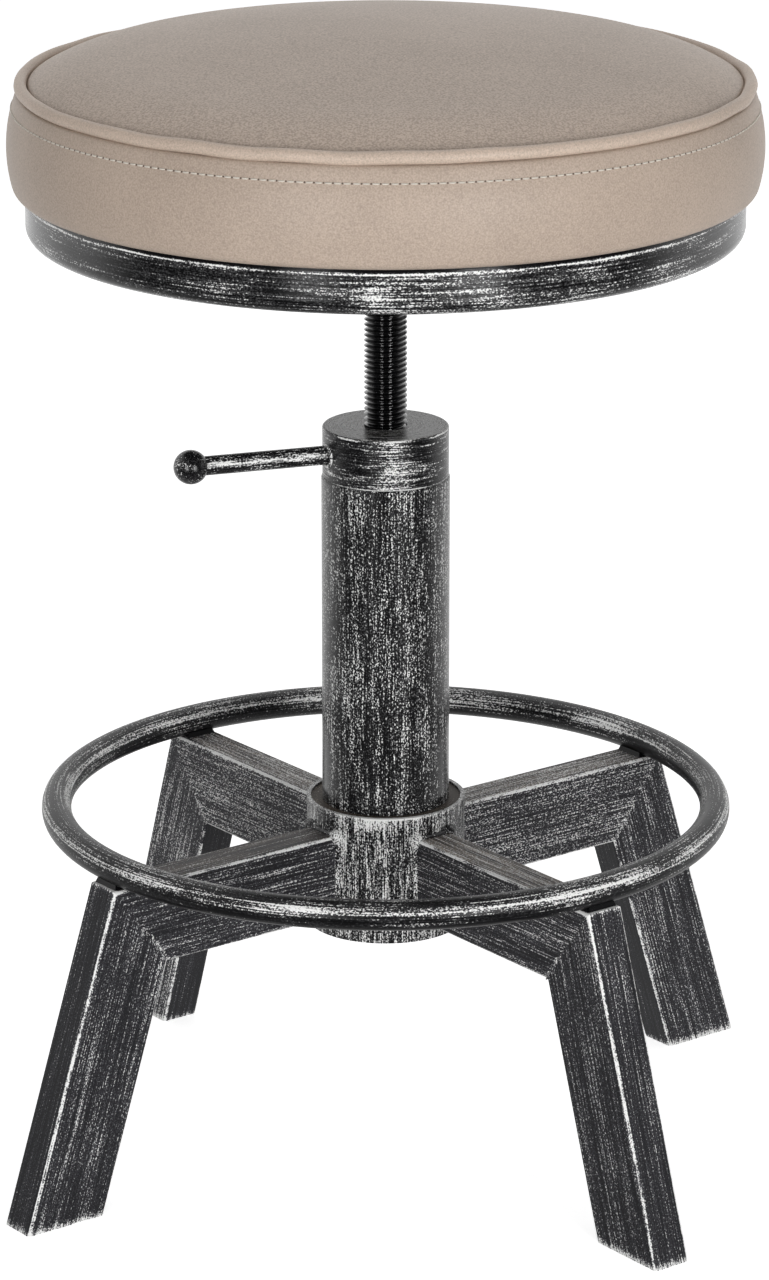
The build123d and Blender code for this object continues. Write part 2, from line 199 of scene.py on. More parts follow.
# Leather: sizes in millimetres, and shares of each noise in its shade and its relief
PEBBLE_SIZE = 0.8
PEBBLE_SHADE = -0.25
PEBBLE_RISE = -0.7
STAIN_SIZE = 60.0
STAIN_SHADE = 0.35
FINE_RISE = 0.5
LEATHER_RELIEF = 0.14 * MM
LEATHER_LEVELS = (0.22, 0.88)
LEATHER_ROUGHNESS = (0.3, 0.9, 0.46, 0.40)  # two levels of the shade, and the roughness at each
HOLE_EDGE = (0.5, 1.6)  # squares of the distance from a hole's middle, in radii
# How dark the painted shade in a needle hole is at its middle
HOLE_SHADE_DEPTH = 0.85

# Paint: sizes in millimetres, and levels at which silver shows
SPECK_STRETCH = 1.4
BAND_STROKE = (5.0, 60.0)
BAND_SHARE = 0.24
CLOUD_SIZE = 35.0
CLOUD_SHARE = 0.20
SILVER_LEVELS = (0.07, 0.14)
GREY_LEVELS = (-0.10, 0.08)
BRIGHT_LEVELS = (0.09, 0.22)
ROUGH_LEVELS = (-0.1, 0.2)
ROUGHER_SILVER = 0.2
# Shares of the strokes where the painted warm sheen shows
WARM_SHEEN_STROKES = (0.43, 0.56)
PAINT_RELIEF = 0.05 * MM

# Paint by place: cover is how much silver is added there, less where it is negative, and lists of four follow
# CORNERS; the shade, sheen and highlight entries are painted shade, painted sheen and painted highlights
# Painted shade: silver taken away on the legs' inner faces, and on their outer faces, most on the front left
# leg
INNER_FACE_SHADE = -0.10
OUTER_FACE_SHADE = (0.0, 0.0, -0.045, -0.01)
# Painted sheen on the arms' top faces: silver added there, and the share of the painted warm sheen
ARM_TOP_PAINTED_SHEEN = (0.03, 0.03, 0.0, 0.06)
ARM_TOP_WARM_SHEEN = (0.7, 0.7, 0.35, 1.0)
LEG_COVER = (-0.02, 0.01, -0.03, -0.03)
LEG_FACE = (0.8, 0.98)
ARM_TOP = (0.6, 0.95)
# Facing range of the arms' tops where the painted warm sheen shows
ARM_WARM_SHEEN_FACING = (0.55, 0.95)
COLLAR_TOP = (0.7, 0.95)
# Share of the painted warm sheen on the collar's top face
COLLAR_WARM_SHEEN = 0.22
# Painted highlight on the ring's upper side
RING_HIGHLIGHT = (0.5, 0.25)  # upward part of the normal where silver is most, and its reach
RING_HIGHLIGHT_COVER = 0.13
# Painted shade on the ring's underside
RING_SHADE = (-0.7, 0.0)
RING_SHADE_COVER = -0.08
# Painted highlight along the lever's upper side
LEVER_HIGHLIGHT = (0.3, 0.3)
LEVER_HIGHLIGHT_COVER = 0.12
GRIND_RISE = 9 * MM
CORNER_LEVELS = (0.24, 0.46)
EDGE_PATCH_SIZE = 14.0
EDGE_PATCH_LEVELS = (0.40, 0.58)
ARM_UPPER_EDGE = (0.26, 0.4)  # strength, and the least share of it
ARM_LOWER_EDGE = (0.16, 0.4)
LEG_OUTER_EDGE = (0.24, 0.5)
LEG_INNER_EDGE = (0.20, 0.2)
SMEAR_LEAN = 0.18
SLATE = {"black": SLATE_BLACK, "grey": SLATE_GREY, "patchy": 0.4, "rough": 0.5, "shine": 0.2}
ARM_MARKS = {"length": 45.0, "stroke": 0.6, **SLATE}
BACK_ARM_MARKS = {"lines": 0.5, "grain": 0.7, "cover": 0.025, **ARM_MARKS}
FRONT_ARM_MARKS = {"lines": 0.75, "grain": 0.55, "cover": -0.02, **ARM_MARKS}
LEG_MARKS = {"lines": 0.6, "grain": 0.6, "length": 45.0, "speck": 0.58, **SLATE}
PAN_MARKS = {"lines": 0.6, "grain": 0.55, "length": 28.0, "cover": -0.02, "rough": 0.15, "grey": PAN_GREY}
COLLAR_MARKS = {"lines": 0.7, "grain": 0.5, "length": 14.0, "shine": 0.36}
COLUMN_MARKS = {"speck": 0.66}
HUB_MARKS = {"lines": 0.65, "grain": 0.6, "length": 12.0, "stroke": 0.6, "cover": 0.04}
SLEEVE_MARKS = {"cover": -0.10, "black": SLEEVE_WARM_DARK, "grey": SLEEVE_WARM_LIGHT, "rough": 0.5, "shine": 0.1}
RING_MARKS = {"lines": 0.65, "grain": 0.57, "length": 44.0, "cover": -0.005, "rough": 0.3, "shine": 0.2}
# The ring welds are darkened nearly to black as painted shade under the ring
RING_WELD_SHADE_MARKS = {"cover": -0.22, "shine": 0.2}
LEVER_MARKS = {"lines": 0.6, "grain": 0.6, "cover": -0.03}
BALL_MARKS = {"cover": -0.02}
WELD_MARKS = {"lines": 0.3, "grain": 0.8}
WELD_COVER = 0.09
HUB_WELD_COVER = -0.04

seat_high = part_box("seat_side_band")[1]
pan_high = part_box("seat_pan")[1]
piping_low, piping_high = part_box("seat_piping")
panel_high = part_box("seat_top_panel")[1]
cushion_radius = piping_high.x + PIPING_INSET - PIPING_RADIUS
piping_radius = piping_high.x - PIPING_RADIUS
piping_height = (piping_low.z + piping_high.z) / 2
band_top = seat_high.z
underside = pan_high.z + PAN_CLEARANCE
seam_radius = panel_high.x
crown_top = panel_high.z


# Materials


class Nodes:
    """Short calls for the nodes of one tree."""

    def __init__(self, tree):
        self.tree = tree

    def put(self, socket, value):
        if isinstance(value, bpy.types.NodeSocket):
            self.tree.links.new(value, socket)
        else:
            socket.default_value = value

    def add(self, kind, inputs=None, **settings):
        node = self.tree.nodes.new(kind)
        for name, value in settings.items():
            setattr(node, name, value)
        for name, value in (inputs or {}).items():
            self.put(node.inputs[name], value)
        return node

    def math(self, operation, a, b=0.0):
        return self.add("ShaderNodeMath", {0: a, 1: b}, operation=operation).outputs[0]

    def times(self, a, b):
        return self.math("MULTIPLY", a, b)

    def total(self, *values):
        result = values[0]
        for value in values[1:]:
            result = self.math("ADD", result, value)
        return result

    def vector(self, operation, a, b=(0, 0, 0), scale=1.0):
        inputs = {0: a, "Scale": scale} if operation == "SCALE" else {0: a, 1: b}
        node = self.add("ShaderNodeVectorMath", inputs, operation=operation)
        return node.outputs["Value" if operation in ("DOT_PRODUCT", "LENGTH") else "Vector"]

    def remap(self, value, low, high, to_low=0.0, to_high=1.0):
        inputs = {"Value": value, "From Min": low, "From Max": high, "To Min": to_low, "To Max": to_high}
        node = self.add("ShaderNodeMapRange", inputs, interpolation_type="SMOOTHSTEP")
        return node.outputs["Result"]

    def mix(self, factor, a, b):
        return self.add("ShaderNodeMix", {0: factor, 6: a, 7: b}, data_type="RGBA").outputs[2]

    def noise(self, vector, size=1.0, detail=2.0, roughness=0.5, w=None):
        inputs = {"Vector": vector, "Scale": 1 / size, "Detail": detail, "Roughness": roughness}
        if w is not None:
            inputs["W"] = w
        node = self.add("ShaderNodeTexNoise", inputs, noise_dimensions="3D" if w is None else "4D")
        return node.outputs["Fac"]

    def cells(self, vector, size):
        inputs = {"Vector": vector, "Scale": 1 / size}
        return self.add("ShaderNodeTexVoronoi", inputs, feature="SMOOTH_F1").outputs["Distance"]

    def bump(self, height, depth, strength=1.0):
        inputs = {"Height": height, "Distance": depth, "Strength": strength}
        return self.add("ShaderNodeBump", inputs).outputs["Normal"]

    def hump(self, value, centre, reach):
        """1 where the value is at the centre, falling off over the reach."""
        share = self.math("DIVIDE", self.math("SUBTRACT", value, centre), reach)
        return self.math("EXPONENT", self.times(self.times(share, share), -1.0))


class Graph(Nodes):
    """A material's nodes, with the point in millimetres and the normal that they read."""

    def __init__(self, name):
        self.material = bpy.data.materials.new(name)
        self.material.use_nodes = True
        super().__init__(self.material.node_tree)
        self.shader = self.tree.nodes["Principled BSDF"]
        place = self.add("ShaderNodeTexCoord").outputs
        self.point = self.vector("SCALE", place["Object"], scale=1 / MM)
        self.normal = place["Normal"]
        self.x, self.y, self.z = self.add("ShaderNodeSeparateXYZ", {"Vector": self.point}).outputs

    def facing(self, direction):
        return self.vector("DOT_PRODUCT", self.normal, tuple(direction))

    def near(self, centre, *axes):
        """1 at the centre, falling off along each (direction, reach in millimetres)."""
        offset = self.vector("SUBTRACT", self.point, tuple(Vector(centre) / MM))
        squares = []
        for direction, reach in axes:
            share = self.vector("DOT_PRODUCT", offset, tuple(Vector(direction) / reach))
            squares.append(self.times(share, share))
        return self.math("EXPONENT", self.times(self.total(*squares), -1.0))

    def finish(self, colour, roughness, normal, **constants):
        looks = {"Base Color": colour, "Roughness": roughness, "Normal": normal}
        for name, value in looks.items():
            self.put(self.shader.inputs[name], value)
        for name, value in constants.items():
            self.shader.inputs[name.replace("_", " ")].default_value = value
        return self.material


def brush_around(graph, across, along):
    """Noise coordinates for strokes that run round the stool's axis."""
    flat = graph.vector("MULTIPLY", graph.point, (1, 1, 0))
    radius = graph.vector("LENGTH", flat)
    inputs = {
        "X": graph.math("DIVIDE", graph.x, along),
        "Y": graph.math("DIVIDE", graph.y, along),
        "Z": graph.math("DIVIDE", graph.z, across),
    }
    return graph.add("ShaderNodeCombineXYZ", inputs).outputs[0], graph.math("DIVIDE", radius, across)


def brush_along(direction):
    """Noise coordinates for strokes that run in one direction."""
    aside = direction.orthogonal().normalized()
    across_both = direction.cross(aside)

    def coordinates(graph, across, along):
        inputs = {
            "X": graph.vector("DOT_PRODUCT", graph.point, tuple(direction / along)),
            "Y": graph.vector("DOT_PRODUCT", graph.point, tuple(aside / across)),
            "Z": graph.vector("DOT_PRODUCT", graph.point, tuple(across_both / across)),
        }
        return graph.add("ShaderNodeCombineXYZ", inputs).outputs[0], None

    return coordinates


def distressed(
    name, brush, silver_shift=None, warm_sheen=None, cover=0.0, lines=0.45, grain=0.75, length=18.0, patchy=1.0,
    black=PAINT_BLACK, grey=PAINT_GREY, rough=0.22, shine=0.45, speck=0.64, stroke=0.7,
):
    """Black paint with silver dry-brushed over it.

    The first function passed adds silver at edges and rubbed places, and for some parts painted highlights,
    or takes silver away as painted shade; the second gives the share of a painted warm sheen, a tint for warm
    light reflected onto upward faces.
    """
    graph = Graph(name)
    stroke_at, stroke_w = brush(graph, stroke, length)
    speck_at, speck_w = brush(graph, speck, SPECK_STRETCH * speck)
    band_at, band_w = brush(graph, *BAND_STROKE)
    strokes = graph.noise(stroke_at, detail=2.0, roughness=0.55, w=stroke_w)
    specks = graph.noise(speck_at, detail=1.0, roughness=0.5, w=speck_w)
    bands = graph.noise(band_at, detail=1.0, w=band_w)
    clouds = graph.noise(graph.point, size=CLOUD_SIZE, detail=2.0)
    band_share, cloud_share = BAND_SHARE * patchy, CLOUD_SHARE * patchy
    level = graph.total(
        graph.times(strokes, lines),
        graph.times(specks, grain),
        graph.times(bands, band_share),
        graph.times(clouds, cloud_share),
        cover - (lines + grain + band_share + cloud_share) / 2,
    )
    # Silver added or taken away by place: real wear, and for some parts painted highlights and painted shade
    if silver_shift is not None:
        level = graph.math("ADD", level, silver_shift(graph))
    silver = graph.remap(level, *SILVER_LEVELS)
    base = graph.mix(graph.remap(level, *GREY_LEVELS), black, grey)
    # Painted warm sheen: a share of the warm tint on upward faces
    if warm_sheen is not None:
        coat = graph.times(warm_sheen(graph), graph.remap(strokes, *WARM_SHEEN_STROKES))
        base = graph.mix(coat, base, WARM_SHEEN_TINT)
    bright = graph.mix(graph.remap(level, *BRIGHT_LEVELS), SILVER_DULL, SILVER)
    colour = graph.mix(silver, base, bright)
    normal = graph.bump(graph.math("ADD", strokes, silver), PAINT_RELIEF, strength=0.5)
    roughness = graph.remap(level, *ROUGH_LEVELS, rough, rough + ROUGHER_SILVER)
    return graph.finish(colour, roughness, normal, Specular_IOR_Level=shine)


def leather(name, highlight_gain=1.0, hole_shade=False, grain_size=0.75, contrast=0.75):
    graph = Graph(name)
    pebbles = graph.cells(graph.point, PEBBLE_SIZE)
    fine = graph.noise(graph.point, size=grain_size, detail=1.0)
    clouds = graph.noise(graph.point, size=STAIN_SIZE, detail=2.0)
    shade = graph.total(
        graph.times(clouds, STAIN_SHADE),
        graph.times(fine, contrast),
        graph.times(pebbles, PEBBLE_SHADE),
        (1 - contrast) / 2,
    )
    # A gain above 1 lightens both colours as a painted highlight; the piping uses it
    dark, light = ([highlight_gain * part for part in colour[:3]] + [1] for colour in (LEATHER_DARK, LEATHER))
    colour = graph.mix(graph.remap(shade, *LEATHER_LEVELS), dark, light)
    # Painted shade in the needle holes
    if hole_shade:
        colour = graph.mix(needle_hole_shade(graph), colour, NEEDLE_HOLE_SHADE)
    grain = graph.total(graph.times(pebbles, PEBBLE_RISE), graph.times(fine, FINE_RISE))
    normal = graph.bump(grain, LEATHER_RELIEF, strength=0.6)
    roughness = graph.remap(shade, *LEATHER_ROUGHNESS)
    return graph.finish(colour, roughness, normal, Specular_IOR_Level=0.22)


def needle_hole_shade(graph):
    """Painted shade in the holes between the seam's stitches: how dark the cover is there, and 0 elsewhere.
    """
    frontward = graph.times(graph.y, -1.0)
    turns = graph.math("DIVIDE", graph.math("ARCTAN2", graph.x, frontward), 2 * math.pi)
    number = graph.times(turns, STITCH_COUNT)
    from_hole = graph.math("SUBTRACT", number, graph.math("ROUND", number))
    pitch = 2 * math.pi * cushion_radius / STITCH_COUNT
    across = graph.times(from_hole, pitch / NEEDLE_RADIUS)
    rise = graph.math("SUBTRACT", graph.z, (band_top - STITCH_DROP) / MM)
    upward = graph.math("DIVIDE", rise, NEEDLE_RADIUS / MM)
    squares = graph.total(graph.times(across, across), graph.times(upward, upward))
    return graph.remap(squares, *HOLE_EDGE, HOLE_SHADE_DEPTH, 0.0)


def thread_material():
    graph = Graph("stitch_thread")
    fibres = graph.noise(graph.vector("MULTIPLY", graph.point, (9, 9, 2)), detail=2.0)
    colour = graph.mix(fibres, THREAD, tuple(THREAD_SHADE * part for part in THREAD[:3]) + (1,))
    return graph.finish(colour, 0.7, graph.bump(fibres, 0.05 * MM), Specular_IOR_Level=0.3)


def black_oxide():
    graph = Graph("black_screw_finish")
    oil = graph.noise(graph.point, size=3.0, detail=3.0)
    specks = graph.noise(graph.point, size=0.3, detail=1.0)
    colour = graph.mix(graph.remap(oil, 0.35, 0.75), SCREW_BLACK, SCREW_OIL)
    roughness = graph.remap(oil, 0.3, 0.7, 0.04, 0.08)
    return graph.finish(colour, roughness, graph.bump(specks, 0.04 * MM, 0.5), Specular_IOR_Level=1.0)


def zinc_plate():
    graph = Graph("zinc_finish")
    clouds = graph.noise(graph.point, size=4.0, detail=3.0)
    turning = graph.noise(graph.vector("MULTIPLY", graph.point, (1, 1, 6)), size=0.7, detail=2.0)
    colour = graph.mix(clouds, ZINC, ZINC_YELLOW)
    roughness = graph.remap(clouds, 0.3, 0.7, 0.28, 0.46)
    return graph.finish(colour, roughness, graph.bump(turning, 0.04 * MM, 0.5), Metallic=1.0)


def nylon():
    graph = Graph("nylon_finish")
    turning = graph.noise(graph.vector("MULTIPLY", graph.point, (0.2, 0.2, 3)), size=0.5, detail=2.0)
    colour = graph.mix(turning, NYLON, NYLON_DULL)
    return graph.finish(colour, 0.42, graph.bump(turning, 0.03 * MM, 0.5), Subsurface_Weight=0.05)


def plywood():
    graph = Graph("plywood_finish")
    plies = graph.math("SINE", graph.times(graph.z, 2 * math.pi / 2.4))
    figure = graph.noise(graph.vector("MULTIPLY", graph.point, (0.05, 0.6, 0.6)), size=2.0, detail=4.0)
    shade = graph.total(graph.times(plies, 0.22), figure)
    colour = graph.mix(graph.remap(shade, 0.2, 0.9), PLY_LIGHT, PLY_DARK)
    return graph.finish(colour, 0.7, graph.bump(figure, 0.1 * MM, 0.5))


# Mesh helpers


def even_turns(count):
    return [2 * math.pi * step / count for step in range(count)]


def on_circle(radius, angle, height):
    """A point round the stool's axis, its angle counted from the front to the right."""
    return Vector((radius * math.sin(angle), -radius * math.cos(angle), height))


def mesh_object(name, points, faces, smooth=True):
    mesh = bpy.data.meshes.new(name)
    mesh.from_pydata([tuple(p) for p in points], [], faces)
    mesh.validate()
    for polygon in mesh.polygons:
        polygon.use_smooth = smooth
    piece = bpy.data.objects.new(name, mesh)
    bpy.context.scene.collection.objects.link(piece)
    return piece


def outward_faces(piece):
    work = bmesh.new()
    work.from_mesh(piece.data)
    bmesh.ops.remove_doubles(work, verts=work.verts, dist=1e-6)
    bmesh.ops.recalc_face_normals(work, faces=work.faces)
    work.to_mesh(piece.data)
    work.free()


def arc(start, tangent, end, steps):
    """Points after start on the circle that leaves it along the tangent and reaches end."""
    start, end = Vector(start), Vector(end)
    tangent = Vector(tangent).normalized()
    side = Vector((-tangent.y, tangent.x))
    chord = end - start
    radius = chord.length_squared / (2 * chord.dot(side))
    centre = start + side * radius
    sweep = 2 * math.atan2(chord.dot(side), chord.dot(tangent))
    spoke = start - centre
    points = []
    for step in range(1, steps + 1):
        turn = sweep * step / steps
        points.append(centre + Vector((
            spoke.x * math.cos(turn) - spoke.y * math.sin(turn),
            spoke.x * math.sin(turn) + spoke.y * math.cos(turn),
        )))
    last = end - centre
    leaving = Vector((-last.y, last.x)).normalized() * math.copysign(1, sweep)
    return points, leaving


def through(first, middle, last, steps):
    """Points on the circle through three points, from first to last, and its direction at the end."""
    first, middle, last = Vector(first), Vector(middle), Vector(last)
    a, b = middle - first, last - first
    scale = 2 * (a.x * b.y - a.y * b.x)
    centre = first + Vector((
        b.y * a.length_squared - a.y * b.length_squared,
        a.x * b.length_squared - b.x * a.length_squared,
    )) / scale
    spoke = first - centre
    turn = math.copysign(1, a.x * b.y - a.y * b.x)
    tangent = Vector((-spoke.y, spoke.x)).normalized() * turn
    points, leaving = arc(first, tangent, last, steps)
    return [first] + points, leaving


def lathe_sheet(name, profile, segments):
    """A sheet turned round the axis from (radius, height) points."""
    points, faces = [], []
    for radius, height in profile:
        points.extend(on_circle(radius, angle, height) for angle in even_turns(segments))
    for row in range(len(profile) - 1):
        for step in range(segments):
            follow = (step + 1) % segments
            faces.append((
                row * segments + step,
                (row + 1) * segments + step,
                (row + 1) * segments + follow,
                row * segments + follow,
            ))
    return mesh_object(name, points, faces)


def tube(path, radius_at, sides, closed=False, up=Z_AXIS):
    """Points and faces of a tube, with its radius at each step from radius_at(step).

    Its path never runs along up.
    """
    points, faces = [], []
    count = len(path)
    for step, here in enumerate(path):
        before = path[step - 1] if step or closed else here
        after = path[(step + 1) % count] if step + 1 < count or closed else here
        forward = (after - before).normalized()
        aside = forward.cross(up).normalized()
        upward = aside.cross(forward)
        for side in range(sides):
            turn = 2 * math.pi * side / sides
            points.append(here + (aside * math.cos(turn) + upward * math.sin(turn)) * radius_at(step))
    for step in range(count if closed else count - 1):
        follow = (step + 1) % count
        for side in range(sides):
            beside = (side + 1) % sides
            faces.append((
                step * sides + side,
                step * sides + beside,
                follow * sides + beside,
                follow * sides + side,
            ))
    if not closed:
        faces.append(tuple(range(sides)))
        faces.append(tuple((count - 1) * sides + side for side in reversed(range(sides))))
    return points, faces


def gathered(name, shells):
    """One mesh of several (points, faces) shells."""
    points, faces = [], []
    for added, around in shells:
        base = len(points)
        points.extend(added)
        faces.extend(tuple(base + index for index in face) for face in around)
    piece = mesh_object(name, points, faces)
    outward_faces(piece)
    return piece


def wave(angle, seed, terms=7):
    """A smooth uneven wave round the stool, about -1 to 1."""
    draw = random.Random(seed)
    value = 0.0
    for term in range(1, terms + 1):
        value += math.sin(draw.randint(2, 6 * term) * angle + draw.uniform(0, 2 * math.pi)) / math.sqrt(terms)
    return value


def simulate(sheet, pinned, slack, cap):
    """Lets the sheet settle as cloth over its filling, with no point moved past the cap."""
    pins = sheet.vertex_groups.new(name="pinned")
    loose = sheet.vertex_groups.new(name="slack")
    for group, weights in ((pins, pinned), (loose, slack)):
        for index, weight in enumerate(weights):
            group.add([index], weight, "REPLACE")
    cloth = sheet.modifiers.new("cloth", "CLOTH")
    for name, value in CLOTH.items():
        setattr(cloth.settings, name, value)
    cloth.settings.effector_weights.gravity = 0
    cloth.settings.vertex_group_mass = pins.name
    cloth.settings.vertex_group_shrink = loose.name
    scene = bpy.context.scene
    for step in range(1, CLOTH_FRAMES + 1):
        scene.frame_set(step)
    settled = sheet.evaluated_get(bpy.context.evaluated_depsgraph_get()).data
    rest = np.array([v.co for v in sheet.data.vertices])
    moved = np.array([v.co for v in settled.vertices]) - rest
    length = np.linalg.norm(moved, axis=1)
    moved *= np.minimum(1, cap / np.maximum(length, 1e-12))[:, None]
    largest, mean = (round(move / MM, 2) for move in (length.max(), length.mean()))
    print("cloth", sheet.name, "largest move", largest, "mm, mean", mean)
    sheet.modifiers.remove(cloth)
    sheet.vertex_groups.clear()
    sheet.data.vertices.foreach_set("co", (rest + moved).astype(np.float32).ravel())
    sheet.data.update()
    scene.frame_set(1)


def dress(piece, material, body, slot, *replaced):
    piece.data.materials.clear()
    piece.data.materials.append(material)
    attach(piece, body)
    if replaced:
        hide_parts(*replaced)
    return piece


# Cushion


def side_band(material):
    bulge = underside + BULGE_RISE
    foot = underside + FOOT_RISE
    side, leaving = through(
        (cushion_radius - TOP_INSET, band_top - BAND_EDGE_DROP),
        (cushion_radius, bulge),
        (cushion_radius - FOOT_INSET, foot),
        BAND_SIDE_STEPS,
    )
    foot_corner = (cushion_radius - FOOT_CORNER_INSET, underside)
    corner, _ = arc(side[-1], leaving, foot_corner, BAND_CORNER_STEPS)
    tucked_top = [(piping_radius + out, band_top + up) for out, up in BAND_SEAM_EDGE]
    tuck_radius = pan_high.x - TUCK_INSET
    tucked_foot = [
        (tuck_radius + TUCK_TURN, underside),
        (tuck_radius, underside),
        (tuck_radius, underside - TUCK_DEPTH),
    ]
    profile = [Vector(p) for p in tucked_top] + side + corner + [Vector(p) for p in tucked_foot]
    sheet = lathe_sheet("cushion_side_band", profile, BAND_SEGMENTS)
    free_rows = range(len(tucked_top) + 1, len(tucked_top) + len(side) + 1)
    mean, swing = BAND_PUCKERS
    hold, slack = [], []
    for row, (_, height) in enumerate(profile):
        free = row in free_rows
        near_seam = math.exp(-(((band_top - height) - STITCH_DROP / 2) / BAND_PUCKER_REACH) ** 2)
        hold.extend([FILLING_HOLD if free else 1.0] * BAND_SEGMENTS)
        for angle in even_turns(BAND_SEGMENTS):
            puckers = max(0.0, mean + swing * wave(angle, BAND_SEED))
            slack.append(near_seam * puckers if free else 0.0)
    simulate(sheet, hold, slack, BAND_MOST_MOVE)
    stitch_dent(sheet)
    shell = sheet.modifiers.new("thickness", "SOLIDIFY")
    shell.thickness = COVER_THICKNESS
    shell.offset = -1
    smooth = sheet.modifiers.new("smooth", "SUBSURF")
    smooth.levels = smooth.render_levels = 1
    dress(sheet, material, "seat", "cover", "seat_side_band")
    return sheet


def stitch_dent(sheet):
    """Draws the band in where the stitches pull it."""
    for vertex in sheet.data.vertices:
        flat = Vector((vertex.co.x, vertex.co.y, 0))
        depth = math.exp(-((vertex.co.z - (band_top - STITCH_DROP)) / DENT_REACH) ** 2)
        vertex.co -= flat.normalized() * depth * DENT_DEPTH


def disc_grid(count):
    """Points of a square grid bent into a unit disc, its quads, and its rim's points in order of angle."""
    points, faces = [], []
    for i in range(count + 1):
        for j in range(count + 1):
            a, b = 2 * i / count - 1, 2 * j / count - 1
            if abs(a) > abs(b):
                points.append(Vector((a * math.cos(math.pi / 4 * b / a), a * math.sin(math.pi / 4 * b / a))))
            elif b:
                points.append(Vector((b * math.sin(math.pi / 4 * a / b), b * math.cos(math.pi / 4 * a / b))))
            else:
                points.append(Vector((0, 0)))
            if i < count and j < count:
                corner = i * (count + 1) + j
                faces.append((corner, corner + count + 1, corner + count + 2, corner + 1))
    rim = [index for index, point in enumerate(points) if point.length > 1 - 1 / count]
    rim.sort(key=lambda index: math.atan2(points[index].y, points[index].x))
    return points, faces, rim


def top_panel(material):
    """The crowned panel and its filling, one closed form from the crown to the board."""
    disc, quads, rim = disc_grid(PANEL_GRID)
    bend = (CROWN_TURN_RADIUS ** 2 + CROWN_TURN_DROP ** 2) / (2 * CROWN_TURN_DROP)
    turn_point = (CROWN_TURN_RADIUS, crown_top - CROWN_TURN_DROP)
    leaving = (bend - CROWN_TURN_DROP, -CROWN_TURN_RADIUS)
    seam_height = piping_height + COVER_THICKNESS
    roll, _ = arc(turn_point, leaving, (seam_radius, seam_height), CROWN_ROLL_STEPS)
    tucked = [
        Vector((seam_radius + PANEL_EDGE[0], seam_height - PANEL_EDGE[1])),
        Vector((seam_radius - PANEL_TURN_IN[0], piping_height - PANEL_TURN_IN[1])),
    ]
    base_radius, base_height = seam_radius - PANEL_BASE_INSET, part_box("seat_foam")[0].z
    points = []
    for spot in disc:
        out = spot * CROWN_TURN_RADIUS
        points.append((out.x, out.y, crown_top - bend + math.sqrt(bend ** 2 - out.length_squared)))
    mean, swing = PANEL_PUCKERS
    hold, slack = [FILLING_HOLD] * len(disc), [0.0] * len(disc)
    rings = [rim]
    for row, (radius, height) in enumerate(roll + tucked):
        free = row < len(roll) - 1
        near_seam = math.exp(-((seam_radius - radius) / PANEL_PUCKER_REACH) ** 2)
        hold.extend([FILLING_HOLD if free else 1.0] * len(rim))
        rings.append(range(len(points), len(points) + len(rim)))
        for index in rim:
            toward = disc[index].normalized()
            points.append((toward.x * radius, toward.y * radius, height))
            puckers = max(0.0, mean + swing * wave(math.atan2(toward.x, -toward.y), PANEL_SEED))
            slack.append(PANEL_SLACK * near_seam * puckers if free else 0.0)
    base = len(points)
    rings.append([base + index for index in rim])
    points.extend((spot.x * base_radius, spot.y * base_radius, base_height) for spot in disc)
    hold.extend([1.0] * len(disc))
    slack.extend([0.0] * len(disc))
    faces = list(quads)
    for inner, outer in zip(rings, rings[1:]):
        for step in range(len(rim)):
            follow = (step + 1) % len(rim)
            faces.append((inner[step], outer[step], outer[follow], inner[follow]))
    faces.extend(tuple(base + index for index in reversed(quad)) for quad in quads)
    sheet = mesh_object("cushion_top_panel", points, faces)
    simulate(sheet, hold, slack, PANEL_MOST_MOVE)
    smooth = sheet.modifiers.new("smooth", "SUBSURF")
    smooth.levels = smooth.render_levels = 1
    dress(sheet, material, "seat", "cover", "seat_top_panel", "seat_foam")
    return sheet


def piping(material):
    radius_seed, height_seed, girth_seed = PIPING_SEEDS
    angles = even_turns(PIPING_STEPS)
    path = []
    for angle in angles:
        radius = piping_radius + PIPING_WANDER * wave(angle, radius_seed)
        path.append(on_circle(radius, angle, piping_height + PIPING_WAVER * wave(angle, height_seed)))

    def radius_at(step):
        return PIPING_RADIUS * (1 + PIPING_SWELL * wave(angles[step], girth_seed))

    piece = gathered("cushion_piping", [tube(path, radius_at, PIPING_SIDES, closed=True)])
    return dress(piece, material, "seat", "cover", "seat_piping")


def stitches(material, band):
    """One seam of short threads round the side band, each dipping into the cover at its ends."""
    height = band_top - STITCH_DROP
    surface = band_radius(band, height)

    def thread_radius(step):
        return STITCH_RADIUS * (STITCH_END if step in (0, STITCH_RINGS - 1) else 1.0)

    threads = []
    for number in range(STITCH_COUNT):
        middle = 2 * math.pi * (number + 0.5) / STITCH_COUNT
        radius = surface(middle)
        half = STITCH_LENGTH / 2 / radius
        path = []
        for step in range(STITCH_RINGS):
            share = 2 * step / (STITCH_RINGS - 1) - 1
            angle = middle + share * half
            reach = radius + STITCH_RADIUS * (STITCH_RISE - STITCH_DIP * share ** 4)
            path.append(on_circle(reach, angle, height))
        threads.append(tube(path, thread_radius, STITCH_SIDES))
    return dress(gathered("cushion_stitches", threads), material, "seat", "cover")


def band_radius(band, height):
    """A function of the angle that gives the band's radius at that height."""
    angles, radii = [], []
    for vertex in band.data.vertices:
        if abs(vertex.co.z - height) < DENT_REACH and vertex.co.xy.length > piping_radius:
            angles.append(math.atan2(vertex.co.x, -vertex.co.y) % (2 * math.pi))
            radii.append(vertex.co.xy.length)
    order = np.argsort(angles)
    angles = np.array(angles)[order]
    radii = np.array(radii)[order]
    return lambda angle: float(np.interp(angle % (2 * math.pi), angles, radii, period=2 * math.pi))


# Height screw


